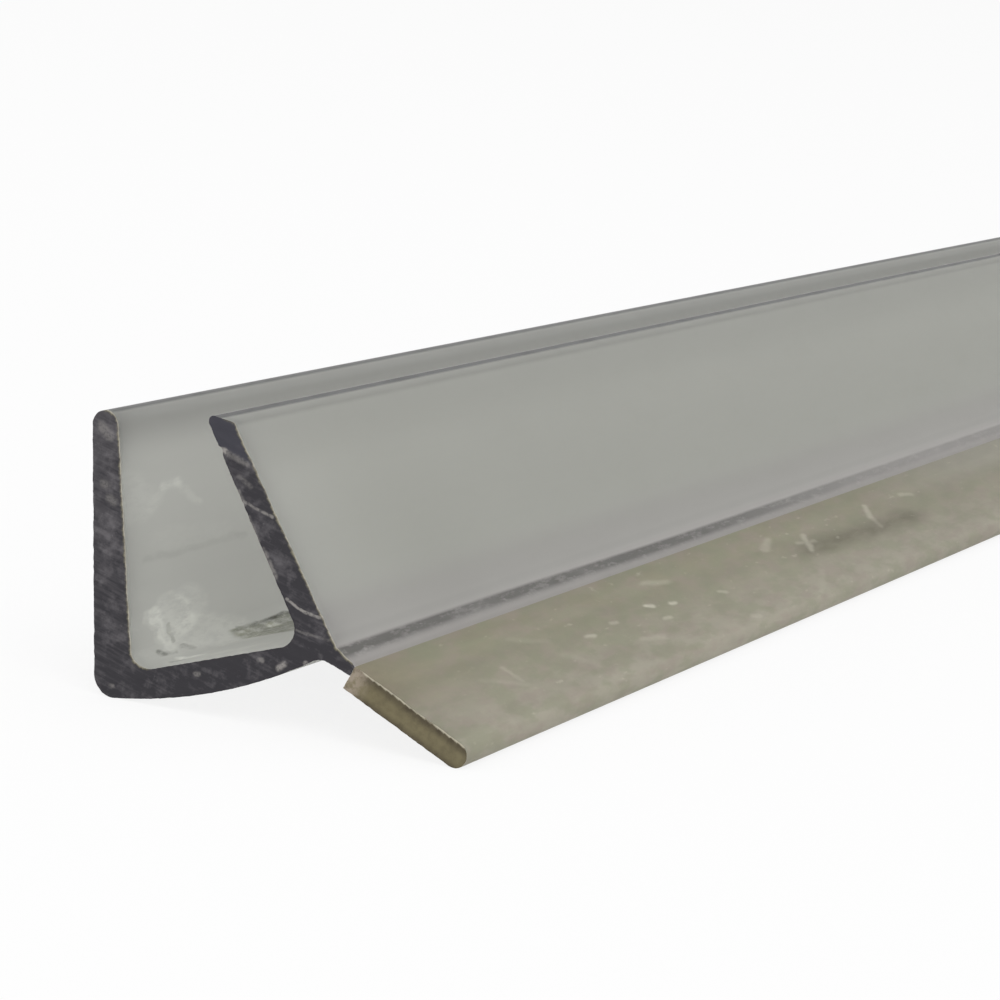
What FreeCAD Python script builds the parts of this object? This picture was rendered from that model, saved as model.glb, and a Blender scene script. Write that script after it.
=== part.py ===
import FreeCAD, Part
import math
import os
import Sketcher

# Shower door seal strip, sold in cut lengths with square sawn ends.
# A stiff clear channel clips on the edge of a glass door. Its two legs lean
# towards each other to grip the glass. A soft drip fin is bonded to a short
# neck below the front leg. The strip lies as it comes to rest on a floor:
# on the heel of its channel and on the tip of its fin.
#
# +Y runs along the strip, +Z is up, and the origin is on the floor under the
# middle of the strip. Sizes are millimetres and degrees.

doc = FreeCAD.newDocument("ShowerDoorSeal")

sizes = {
    # the strip as stock
    "strip_length": 600.0,
    # glass slot: its floor, and the base under it, which bellies down most a
    # little to the back of the slot's middle
    "slot_width": 9.0,
    "base_thickness": 1.55,
    "belly_radius": 24.0,
    "belly_offset": 0.8,
    "slot_fillet": 0.9,
    # back leg, the taller one; it thins towards a round tip
    "back_leg_height": 11.45,
    "back_leg_width": 2.0,
    "back_inner_lean": 9.4,
    "back_outer_lean": 12.6,
    "heel_radius": 1.05,
    # front leg, with an oblique top
    "front_leg_height": 11.2,
    "front_leg_width": 1.5,
    "front_inner_lean": 13.1,
    "front_outer_lean": 14.6,
    "front_top_slope": 31.0,
    "front_tip_radius": 0.28,
    # neck that carries the fin
    "shoulder_drop": 0.42,
    "shoulder_fillet": 0.4,
    "neck_length": 1.27,
    "neck_slope": 52.0,
    "neck_thickness": 0.5,
    "neck_under_slope": 38.0,
    "neck_fillet": 1.0,
    # soft fin
    "fin_length": 6.7,
    "fin_thickness": 1.18,
    "fin_slope": 43.5,
}

sheet = doc.addObject("Spreadsheet::Sheet", "Sizes")
for row, (word, value) in enumerate(sizes.items(), start=1):
    sheet.set("A%d" % row, word)
    sheet.set("B%d" % row, str(value))
    sheet.setAlias("B%d" % row, word)
doc.recompute()

# sketch points: 1 start, 2 end, 3 centre; (-1, 1) is the sketch's origin
START, END, CENTRE = 1, 2, 3
ORIGIN = (-1, 1)


def point(x, y):
    return FreeCAD.Vector(x, y, 0)


def newBody(name, label):
    body = doc.addObject("PartDesign::Body", name)
    body.Label = label
    return body


def newSection(body, name):
    # the strip's section is drawn on the body's own XZ plane
    plane = [f for f in body.Origin.OriginFeatures if f.Role == "XZ_Plane"][0]
    section = body.newObject("Sketcher::SketchObject", name)
    section.AttachmentSupport = [(plane, "")]
    section.MapMode = "FlatFace"
    return section


def addLine(section, start, end):
    return section.addGeometry(Part.LineSegment(start, end), False)


def addGuide(section, start, end):
    return section.addGeometry(Part.LineSegment(start, end), True)


def addArc(section, centre, radius, first, last):
    circle = Part.Circle(centre, FreeCAD.Vector(0, 0, 1), radius)
    return section.addGeometry(Part.ArcOfCircle(circle, first, last), False)


def tie(section, kind, *where):
    section.addConstraint(Sketcher.Constraint(kind, *where))


def bind(section, kind, where, name, formula):
    # a named dimension that takes its value from the sheet
    start = section.evalExpression(formula)
    start = getattr(start, "Value", start)
    if kind == "Angle":
        start = math.radians(start)
    index = section.addConstraint(Sketcher.Constraint(kind, *where, start))
    section.renameConstraint(index, name)
    section.setExpression("Constraints." + name, formula)


def padAlong(body, section, name):
    pad = body.newObject("PartDesign::Pad", name)
    pad.Profile = section
    pad.SideType = "Symmetric"
    pad.setExpression("Length", "Sizes.strip_length")
    section.Visibility = False
    return pad


def roundEdges(body, base, section, corners, name, alias):
    # rounds the long edges that start at the given corners of the section
    spots = [section.getPoint(geometry, end) for geometry, end in corners]
    edges = []
    for number, edge in enumerate(base.Shape.Edges, start=1):
        ends = [vertex.Point for vertex in edge.Vertexes]
        for spot in spots:
            if all(math.hypot(p.x - spot.x, p.z - spot.y) < 1e-4 for p in ends):
                edges.append("Edge%d" % number)
    fillet = body.newObject("PartDesign::Fillet", name)
    fillet.Base = (base, edges)
    fillet.setExpression("Radius", "Sizes." + alias)
    doc.recompute()
    return fillet


# ---- where the corners of the section start out, before the sketch is solved

halfSlot = sizes["slot_width"] / 2
bellyCentre = point(-sizes["belly_offset"], sizes["belly_radius"] - sizes["base_thickness"])


def leanPoint(x, height, lean):
    # on a line through (x, 0) that leans back from the vertical by lean
    return point(x + height * math.tan(math.radians(lean)), height)


backTip = sizes["back_leg_height"]
backInnerTop = leanPoint(-halfSlot, backTip, sizes["back_inner_lean"])
backRoot = -halfSlot - sizes["back_leg_width"]
backOuterTop = leanPoint(backRoot, backTip, sizes["back_outer_lean"])
heel = leanPoint(backRoot, -sizes["base_thickness"] / 2, sizes["back_outer_lean"])
backTipCentre = (backInnerTop + backOuterTop) * 0.5
backTipRadius = (backInnerTop - backOuterTop).Length / 2

frontRoot = halfSlot + sizes["front_leg_width"]
frontInnerTop = leanPoint(halfSlot, sizes["front_leg_height"], -sizes["front_inner_lean"])
frontDrop = sizes["front_leg_width"] * math.tan(math.radians(sizes["front_top_slope"]))
frontOuterTop = leanPoint(
    frontRoot, sizes["front_leg_height"] - frontDrop, -sizes["front_outer_lean"])
shoulder = leanPoint(frontRoot, -sizes["shoulder_drop"], -sizes["front_outer_lean"])
neckSlope = math.radians(sizes["neck_slope"])
finSlope = math.radians(sizes["fin_slope"])
neckTop = shoulder + point(math.cos(neckSlope), -math.sin(neckSlope)) * sizes["neck_length"]
acrossFin = point(-math.sin(finSlope), -math.cos(finSlope))
alongFin = point(math.cos(finSlope), -math.sin(finSlope))
neckEnd = neckTop + acrossFin * sizes["neck_thickness"]
neckStart = point(halfSlot + 1.0, -sizes["base_thickness"] + 0.5)

# ---- the stiff channel: base, back leg, front leg and neck in one extrusion

channel = newBody("Channel", "clear_channel")
outline = newSection(channel, "ChannelSection")

floor = addLine(outline, point(-halfSlot, 0), point(halfSlot, 0))
frontInner = addLine(outline, point(halfSlot, 0), frontInnerTop)
frontTop = addLine(outline, frontInnerTop, frontOuterTop)
frontOuter = addLine(outline, frontOuterTop, shoulder)
neckUpper = addLine(outline, shoulder, neckTop)
neckFace = addLine(outline, neckTop, neckEnd)
neckUnder = addLine(outline, neckEnd, neckStart)
belly = addArc(
    outline, bellyCentre, sizes["belly_radius"],
    math.atan2(heel.y - bellyCentre.y, heel.x - bellyCentre.x),
    math.atan2(neckStart.y - bellyCentre.y, neckStart.x - bellyCentre.x))
backOuter = addLine(outline, heel, backOuterTop)
backRound = addArc(outline, backTipCentre, backTipRadius, 0, math.pi)
backInner = addLine(outline, backInnerTop, point(-halfSlot, 0))
backAcross = addGuide(outline, point(-halfSlot, 0), point(backRoot, 0))
frontAcross = addGuide(outline, point(halfSlot, 0), point(frontRoot, 0))

tie(outline, "Coincident", floor, END, frontInner, START)
tie(outline, "Coincident", frontInner, END, frontTop, START)
tie(outline, "Coincident", frontTop, END, frontOuter, START)
tie(outline, "Coincident", frontOuter, END, neckUpper, START)
tie(outline, "Coincident", neckUpper, END, neckFace, START)
tie(outline, "Coincident", neckFace, END, neckUnder, START)
tie(outline, "Coincident", neckUnder, END, belly, END)
tie(outline, "Coincident", belly, START, backOuter, START)
tie(outline, "Tangent", backOuter, END, backRound, END)
tie(outline, "Tangent", backInner, START, backRound, START)
tie(outline, "Coincident", backInner, END, floor, START)

# the slot's floor lies on the sketch's X axis, centred on its origin
tie(outline, "Horizontal", floor)
tie(outline, "Symmetric", floor, START, floor, END, *ORIGIN)
bind(outline, "DistanceX", (floor, START, floor, END), "slotWidth", "Sizes.slot_width")

# the guides carry each leg's width at the level of the slot's floor
tie(outline, "Coincident", backAcross, START, floor, START)
tie(outline, "Horizontal", backAcross)
tie(outline, "PointOnObject", backAcross, END, backOuter)
bind(outline, "DistanceX", (backAcross, END, backAcross, START), "backWidth", "Sizes.back_leg_width")
tie(outline, "Coincident", frontAcross, START, floor, END)
tie(outline, "Horizontal", frontAcross)
tie(outline, "PointOnObject", frontAcross, END, frontOuter)
bind(outline, "DistanceX", (frontAcross, START, frontAcross, END), "frontWidth", "Sizes.front_leg_width")

# lines are turned from the sketch's X axis, which is geometry -1
bind(outline, "Angle", (backInner,), "backInnerTurn", "-90 - Sizes.back_inner_lean")
bind(outline, "Angle", (backOuter,), "backOuterTurn", "90 - Sizes.back_outer_lean")
bind(outline, "Angle", (frontInner,), "frontInnerTurn", "90 + Sizes.front_inner_lean")
bind(outline, "Angle", (frontOuter,), "frontOuterTurn", "-90 + Sizes.front_outer_lean")
bind(outline, "Angle", (frontTop,), "frontTopTurn", "-Sizes.front_top_slope")
bind(outline, "Angle", (neckUpper,), "neckUpperTurn", "-Sizes.neck_slope")
bind(outline, "Angle", (neckFace,), "neckFaceTurn", "-90 - Sizes.fin_slope")
bind(outline, "Angle", (neckUnder,), "neckUnderTurn", "180 - Sizes.neck_under_slope")

bind(outline, "DistanceY", (*ORIGIN, backRound, CENTRE), "backHeight", "Sizes.back_leg_height")
bind(outline, "DistanceY", (*ORIGIN, frontInner, END), "frontHeight", "Sizes.front_leg_height")
bind(outline, "DistanceY", (neckUpper, START, *ORIGIN), "shoulderDrop", "Sizes.shoulder_drop")
bind(outline, "Distance", (neckUpper, START, neckUpper, END), "neckLength", "Sizes.neck_length")
bind(outline, "Distance", (neckFace, START, neckFace, END), "neckThickness", "Sizes.neck_thickness")
bind(outline, "Radius", (belly,), "bellyRadius", "Sizes.belly_radius")
bind(outline, "DistanceY", (*ORIGIN, belly, CENTRE), "bellyRise", "Sizes.belly_radius - Sizes.base_thickness")
bind(outline, "DistanceX", (belly, CENTRE, *ORIGIN), "bellyOffset", "Sizes.belly_offset")
doc.recompute()

channelPad = padAlong(channel, outline, "ChannelPad")
doc.recompute()
slotRounds = roundEdges(
    channel, channelPad, outline, [(floor, START), (floor, END)], "SlotFillet", "slot_fillet")
heelRound = roundEdges(channel, slotRounds, outline, [(backOuter, START)], "HeelFillet", "heel_radius")
shoulderRound = roundEdges(
    channel, heelRound, outline, [(neckUpper, START)], "ShoulderFillet", "shoulder_fillet")
neckRound = roundEdges(channel, shoulderRound, outline, [(belly, END)], "NeckFillet", "neck_fillet")
tipRounds = roundEdges(
    channel, neckRound, outline, [(frontTop, START), (frontTop, END)], "FrontTipFillet", "front_tip_radius")

# ---- the soft fin: one blade with a round tip, square on the neck's face

fin = newBody("Fin", "drip_fin")
blade = newSection(fin, "FinSection")

finRadius = sizes["fin_thickness"] / 2
bladeRun = sizes["fin_length"] - finRadius
finLow = neckTop + acrossFin * sizes["fin_thickness"]
finRoot = addLine(blade, neckTop, finLow)
finUnder = addLine(blade, finLow, finLow + alongFin * bladeRun)
finTip = addArc(
    blade, neckTop + acrossFin * finRadius + alongFin * bladeRun, finRadius,
    -math.pi / 2 - finSlope, math.pi / 2 - finSlope)
finUpper = addLine(blade, neckTop + alongFin * bladeRun, neckTop)

tie(blade, "Coincident", finRoot, END, finUnder, START)
tie(blade, "Tangent", finUnder, END, finTip, START)
tie(blade, "Tangent", finUpper, START, finTip, END)
tie(blade, "Coincident", finUpper, END, finRoot, START)
tie(blade, "Perpendicular", finRoot, finUnder)
tie(blade, "Parallel", finUnder, finUpper)
bind(blade, "Angle", (finRoot,), "rootTurn", "-90 - Sizes.fin_slope")
bind(blade, "Distance", (finRoot, START, finRoot, END), "thickness", "Sizes.fin_thickness")
bind(blade, "Distance", (finUnder, START, finUnder, END), "run", "Sizes.fin_length - Sizes.fin_thickness / 2")

# the blade's upper root corner is the neck's upper corner
shoulderAcross = "Sizes.slot_width / 2 + Sizes.front_leg_width + Sizes.shoulder_drop * tan(Sizes.front_outer_lean)"
neckAcross = "Sizes.neck_length * cos(Sizes.neck_slope)"
neckDown = "Sizes.neck_length * sin(Sizes.neck_slope)"
bind(blade, "DistanceX", (*ORIGIN, finRoot, START), "rootAcross", shoulderAcross + " + " + neckAcross)
bind(blade, "DistanceY", (finRoot, START, *ORIGIN), "rootDrop", "Sizes.shoulder_drop + " + neckDown)
doc.recompute()

finPad = padAlong(fin, blade, "FinPad")
doc.recompute()

# ---- the strip at rest on the floor


def turned(shape, angle):
    copy = shape.copy()
    copy.rotate(FreeCAD.Vector(0, 0, 0), FreeCAD.Vector(0, -1, 0), angle)
    return copy


def lowest(shape):
    # the point of a shape that is nearest to a level plane just under it
    under = shape.optimalBoundingBox()
    corner = FreeCAD.Vector(under.XMin - 1, under.YMin - 1, under.ZMin - 1)
    level = Part.makePlane(under.XLength + 2, under.YLength + 2, corner)
    near = shape.distToShape(level)[1][0][0]
    return near.x, near.z


# the channel's heel and the fin's tip both touch the floor
roll = 0.0
for attempt in range(8):
    heelX, heelZ = lowest(turned(channel.Shape, roll))
    tipX, tipZ = lowest(turned(fin.Shape, roll))
    roll += math.degrees(math.atan2(heelZ - tipZ, tipX - heelX))

whole = Part.Compound([turned(channel.Shape, roll), turned(fin.Shape, roll)])
box = whole.optimalBoundingBox()
rest = FreeCAD.Placement(
    FreeCAD.Vector(-(box.XMin + box.XMax) / 2, 0, -box.ZMin),
    FreeCAD.Rotation(FreeCAD.Vector(0, -1, 0), roll))
channel.Placement = rest
fin.Placement = rest
doc.recompute()

for item in doc.Objects:
    for state in ("Invalid", "Error"):
        if state in item.State:
            raise RuntimeError("%s is %s" % (item.Name, state))

os.makedirs("parts", exist_ok=True)
for body in (channel, fin):
    if body.Shape.isNull() or not body.Shape.isValid():
        raise RuntimeError(body.Label + " has no valid shape")
    body.Shape.exportStep("parts/%s.step" % body.Label)
    box = body.Shape.optimalBoundingBox()
    print(body.Label, "volume %.1f mm3" % body.Shape.Volume)
    print("  x %.3f..%.3f  y %.1f..%.1f  z %.3f..%.3f" % (
        box.XMin, box.XMax, box.YMin, box.YMax, box.ZMin, box.ZMax))
for section in (outline, blade):
    print(section.Name, "fully constrained:", section.FullyConstrained)
print("roll %.3f degrees, slot at x %.3f z %.3f" % (roll, rest.Base.x, rest.Base.z))
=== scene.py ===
# Shower door seal strip: a stiff smoke-clear channel with a soft olive drip fin along one side,
# sawn square at both ends and lying on its heel and on the tip of its fin.
import math

import bpy
import numpy as np
from mathutils import Matrix, Vector
from mathutils.geometry import delaunay_2d_cdt


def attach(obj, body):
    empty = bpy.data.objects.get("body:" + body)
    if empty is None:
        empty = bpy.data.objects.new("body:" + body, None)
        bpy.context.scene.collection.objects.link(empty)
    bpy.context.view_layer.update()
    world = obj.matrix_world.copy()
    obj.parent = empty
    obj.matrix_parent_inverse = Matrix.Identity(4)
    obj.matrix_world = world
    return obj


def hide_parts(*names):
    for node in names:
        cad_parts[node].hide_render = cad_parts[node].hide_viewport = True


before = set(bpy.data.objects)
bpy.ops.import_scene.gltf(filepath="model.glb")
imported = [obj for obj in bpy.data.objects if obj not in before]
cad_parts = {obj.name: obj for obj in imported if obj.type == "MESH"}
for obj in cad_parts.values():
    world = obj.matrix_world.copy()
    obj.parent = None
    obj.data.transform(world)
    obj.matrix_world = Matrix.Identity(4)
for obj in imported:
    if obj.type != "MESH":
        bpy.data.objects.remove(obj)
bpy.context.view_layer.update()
print("frame loaded:", ", ".join(sorted(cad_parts)))

# How the strip lies: sizes of the section are in millimetres, across (x) and up (y) from the middle
# of the slot's floor, and z runs along the strip towards the photographed end.
strip = {
    "length": 600.0,
    "roll": 18.724,             # degrees that the section is turned, so that heel and fin both touch the floor
    "slotPlace": (-2.723, 2.820),   # middle of the slot's floor, along world X and Z
    "sawDirection": -35.0,      # degrees, the way that the saw teeth crossed the section
    "burrSide": 20.0,           # degrees, the side on which the saw left its burr
    "burrRoom": 0.25,           # the burr dies away this near to the limits of the strip's box
}
mm = 0.001


# Node helpers.
class Wire:
    # One socket of a node tree. Maths on it adds Math nodes.
    def __init__(self, tree, socket=None):
        self.tree, self.socket = tree, socket

    def add(self, kind, settings=None, inputs=None, output=0):
        node = self.tree.nodes.new(kind)
        for name, value in (settings or {}).items():
            setattr(node, name, value)
        for name, value in (inputs or {}).items():
            if isinstance(value, Wire):
                self.tree.links.new(value.socket, node.inputs[name])
            elif value is not None:
                node.inputs[name].default_value = value
        return Wire(self.tree, node.outputs[output])

    def other(self, output):        # another output of the same node
        return Wire(self.tree, self.socket.node.outputs[output])

    def maths(self, operation, *others):
        values = dict(enumerate((self,) + others))
        return self.add("ShaderNodeMath", {"operation": operation}, values)

    def __add__(self, value):
        return self.maths("ADD", value)

    def __sub__(self, value):
        return self.maths("SUBTRACT", value)

    def __rsub__(self, value):
        return self.add("ShaderNodeMath", {"operation": "SUBTRACT"}, {0: value, 1: self})

    def __mul__(self, value):
        return self.maths("MULTIPLY", value)

    def __truediv__(self, value):
        return self.maths("DIVIDE", value)

    def __rtruediv__(self, value):
        return self.add("ShaderNodeMath", {"operation": "DIVIDE"}, {0: value, 1: self})

    __radd__ = __add__
    __rmul__ = __mul__

    def size(self):
        return self.maths("ABSOLUTE")

    def clamped(self):
        return self.add("ShaderNodeClamp", {}, {"Value": self})

    def power(self, value):
        return self.maths("POWER", value)

    def ramp(self, start, end, low=0.0, high=1.0):      # eased step from low to high
        kinds = {"interpolation_type": "SMOOTHSTEP"}
        return self.add("ShaderNodeMapRange", kinds, {0: self, 1: start, 2: end, 3: low, 4: high})

    def vector(self, operation, *others, scale=None, output="Vector"):
        values = dict(enumerate((self,) + others))
        values["Scale"] = scale
        return self.add("ShaderNodeVectorMath", {"operation": operation}, values, output)

    def axes(self):
        x = self.add("ShaderNodeSeparateXYZ", {}, {0: self}, "X")
        return x, x.other("Y"), x.other("Z")

    def between(self, first, second):       # two colours mixed by this mask
        return self.add("ShaderNodeMix", {"data_type": "RGBA"}, {0: self, 6: first, 7: second}, 2)

    def towards(self, colour, mask):        # this colour blended into another one
        return self.add("ShaderNodeMix", {"data_type": "RGBA"}, {0: mask, 6: self, 7: colour}, 2)


# Section drawing.
def direction(degrees):
    return Vector((math.cos(math.radians(degrees)), math.sin(math.radians(degrees))))


def crossing(pointA, alongA, pointB, alongB):
    gap = pointB - pointA
    t = (gap.x * alongB.y - gap.y * alongB.x) / (alongA.x * alongB.y - alongA.y * alongB.x)
    return pointA + alongA * t


def arc(centre, radius, startAngle, endAngle, spacing):
    turn = math.radians(endAngle - startAngle)
    widest = math.radians(12)       # turn of one segment
    count = max(2, math.ceil(abs(turn) * radius / spacing), math.ceil(abs(turn) / widest))
    return [centre + radius * direction(startAngle + (endAngle - startAngle) * i / count)
            for i in range(count + 1)]


def angleOf(vector):
    return math.degrees(math.atan2(vector.y, vector.x))


def roundCorner(before, corner, after, radius, spacing):
    # the arc that rounds a corner between two straight runs
    a, b = (before - corner).normalized(), (after - corner).normalized()
    half = a.angle(b) / 2
    centre = corner + (a + b).normalized() * (radius / math.sin(half))
    first, last = corner + a * (radius / math.tan(half)), corner + b * (radius / math.tan(half))
    start, end = angleOf(first - centre), angleOf(last - centre)
    end += 360 * round((start - end) / 360)
    return arc(centre, radius, start, end, spacing)


def lineMeetsCircle(point, along, centre, radius):
    # both places where a line meets a circle, as distances along the line
    offset = point - centre
    b, c = offset.dot(along), offset.dot(offset) - radius * radius
    root = math.sqrt(b * b - c)
    return -b - root, -b + root


def evenly(points, spacing):
    # the same outline with its long runs divided, and without doubled points
    result, doubled = [], 1e-4
    for a, b in zip(points, points[1:] + points[:1]):
        count = max(1, round((b - a).length / spacing))
        result += [a.lerp(b, i / count) for i in range(count)]
    return [p for p, q in zip(result, result[1:] + result[:1]) if (p - q).length > doubled]


channelSizes = {
    "slotWidth": 9.0, "slotFillet": 0.9,
    "baseThickness": 1.55, "bellyRadius": 24.0, "bellyOffset": 0.8,
    "backHeight": 11.45, "backWidth": 2.0, "backInnerLean": 9.4, "backOuterLean": 12.6, "heelRadius": 1.05,
    "frontHeight": 11.2, "frontWidth": 1.5, "frontInnerLean": 13.1, "frontOuterLean": 14.6,
    "frontTopSlope": 31.0, "frontTipRadius": 0.28,
    "shoulderDrop": 0.42, "shoulderFillet": 0.4,
    "neckLength": 1.27, "neckSlope": 52.0, "neckThickness": 0.5, "neckUnderSlope": 38.0, "neckFillet": 1.0,
    "spacing": 0.12,            # of the points round the section
}
finSizes = {
    "length": 6.7, "thickness": 1.18, "slope": 43.5,
    "spacing": 0.12,
}


def neckPoints():
    s = channelSizes
    shoulder = Vector((s["slotWidth"] / 2 + s["frontWidth"], 0)) \
        + s["shoulderDrop"] * Vector((math.tan(math.radians(s["frontOuterLean"])), -1))
    neckTop = shoulder + s["neckLength"] * direction(-s["neckSlope"])
    neckEnd = neckTop + s["neckThickness"] * direction(-finSizes["slope"] - 90)
    return shoulder, neckTop, neckEnd


def channelOutline():
    # once round the section, with the plastic on the left
    s = channelSizes
    step = s["spacing"]
    half = s["slotWidth"] / 2
    backIn, backOut = direction(90 - s["backInnerLean"]), direction(90 - s["backOuterLean"])
    frontIn, frontOut = direction(90 + s["frontInnerLean"]), direction(90 + s["frontOuterLean"])
    backFoot, backFootOut = Vector((-half, 0)), Vector((-half - s["backWidth"], 0))
    frontFoot, frontFootOut = Vector((half, 0)), Vector((half + s["frontWidth"], 0))
    shoulder, neckTop, neckEnd = neckPoints()

    bellyCentre = Vector((-s["bellyOffset"], s["bellyRadius"] - s["baseThickness"]))
    inward = direction(-s["backOuterLean"])                     # from the back leg's outer face into it
    heelStart = backFootOut + inward * s["heelRadius"]
    heelCentre = heelStart + backOut * lineMeetsCircle(
        heelStart, backOut, bellyCentre, s["bellyRadius"] - s["heelRadius"])[0]
    under = direction(180 - s["neckUnderSlope"])                # up the neck's underside, towards the belly
    below = direction(-90 - s["neckUnderSlope"])
    filletStart = neckEnd + below * s["neckFillet"]
    reach = lineMeetsCircle(filletStart, under, bellyCentre, s["bellyRadius"] + s["neckFillet"])
    filletCentre = filletStart + under * min(t for t in reach if t > 0)

    heelEnd, bellyEnd = angleOf(heelCentre - bellyCentre), angleOf(filletCentre - bellyCentre)
    outline = arc(heelCentre, s["heelRadius"], 180 - s["backOuterLean"], heelEnd + 360, step)
    outline += arc(bellyCentre, s["bellyRadius"], heelEnd, bellyEnd, step)[1:]
    outline += arc(filletCentre, s["neckFillet"], bellyEnd + 180, angleOf(-below), step)[1:]
    outline += [neckEnd, neckTop]
    outline += roundCorner(neckTop, shoulder, frontFootOut, s["shoulderFillet"], step)

    top = frontFoot + frontIn * (s["frontHeight"] / frontIn.y)
    topOut = crossing(top, direction(-s["frontTopSlope"]), frontFootOut, frontOut)
    outline += roundCorner(frontFootOut, topOut, top, s["frontTipRadius"], step)
    outline += roundCorner(topOut, top, frontFoot, s["frontTipRadius"], step)
    outline += roundCorner(top, frontFoot, backFoot, s["slotFillet"], step)
    tipLeft = backFootOut + backOut * (s["backHeight"] / backOut.y)
    tipRight = backFoot + backIn * (s["backHeight"] / backIn.y)
    outline += roundCorner(frontFoot, backFoot, tipRight, s["slotFillet"], step)

    faceIn, faceOut = direction(-s["backInnerLean"]), direction(180 - s["backOuterLean"])
    tipX = (tipRight.dot(faceIn) - tipLeft.dot(faceOut) - s["backHeight"] * (faceIn.y - faceOut.y)) \
        / (faceIn.x - faceOut.x)
    tipCentre = Vector((tipX, s["backHeight"]))
    tipRadius = (tipRight - tipCentre).dot(faceIn)
    outline += arc(tipCentre, tipRadius, -s["backInnerLean"], 180 - s["backOuterLean"], step)
    return evenly(outline, step)


def finOutline():
    s = finSizes
    along, across = direction(-s["slope"]), direction(-s["slope"] - 90)
    root = neckPoints()[1]
    tipRadius = s["thickness"] / 2
    straight = s["length"] - tipRadius
    foot = root + across * s["thickness"]
    tipCentre = root + along * straight + across * tipRadius
    outline = [root, foot, foot + along * straight]
    outline += arc(tipCentre, tipRadius, -s["slope"] - 90, -s["slope"] + 90, s["spacing"])[1:]
    return evenly(outline, s["spacing"])


def sectionMesh(name, outline, spacing):
    # The section filled with small triangles, flat at z = 0 and in metres. Each point on its edge
    # knows which way is outward, and how far the saw's burr stands there.
    edge = np.array([p[:] for p in outline])
    after, before = np.roll(edge, -1, 0), np.roll(edge, 1, 0)
    tangent = after - before
    outward = np.stack([tangent[:, 1], -tangent[:, 0]], 1)
    outward /= np.linalg.norm(outward, axis=1, keepdims=True)

    clearOfRim = 0.62       # of the spacing, kept by the points inside
    low, high = edge.min(0), edge.max(0)
    rows = np.arange(low[1], high[1], spacing * math.sqrt(3) / 2)
    inside = []
    for number, y in enumerate(rows):
        crossings = sorted(
            a[0] + (b[0] - a[0]) * (y - a[1]) / (b[1] - a[1])
            for a, b in zip(edge, after) if (a[1] <= y) != (b[1] <= y))
        shift = spacing / 2 * (number % 2)
        for left, right in zip(crossings[::2], crossings[1::2]):
            for x in np.arange(math.ceil((left - shift) / spacing) * spacing + shift, right, spacing):
                if np.hypot(*(edge - (x, y)).T).min() > spacing * clearOfRim:
                    inside.append((x, y))

    points = [Vector(p) for p in edge] + [Vector(p) for p in inside]
    count = len(edge)
    rim = [(i, (i + 1) % count) for i in range(count)]
    corners, _, faces, *_ = delaunay_2d_cdt(points, rim, [], 1, 1e-6)
    mesh = bpy.data.meshes.new(name)
    mesh.from_pydata([(p.x * mm, p.y * mm, 0) for p in corners], [], faces)
    side = np.array(direction(strip["burrSide"])[:])
    away = np.zeros((len(corners), 3), np.float32)
    away[:count, :2] = outward
    burr = np.zeros(len(corners), np.float32)
    burr[:count] = np.clip((outward @ side - 0.3) / 0.4, 0, 1)
    turn = math.radians(strip["roll"])
    lying = edge @ np.array(((math.cos(turn), math.sin(turn)), (-math.sin(turn), math.cos(turn))))
    room = (lying.max(0) - lying).min(1)
    burr[:count] *= np.clip(room / strip["burrRoom"], 0, 1)
    mesh.attributes.new("outward", "FLOAT_VECTOR", "POINT").data.foreach_set("vector", away.ravel())
    mesh.attributes.new("burr", "FLOAT", "POINT").data.foreach_set("value", burr)
    return mesh


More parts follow.
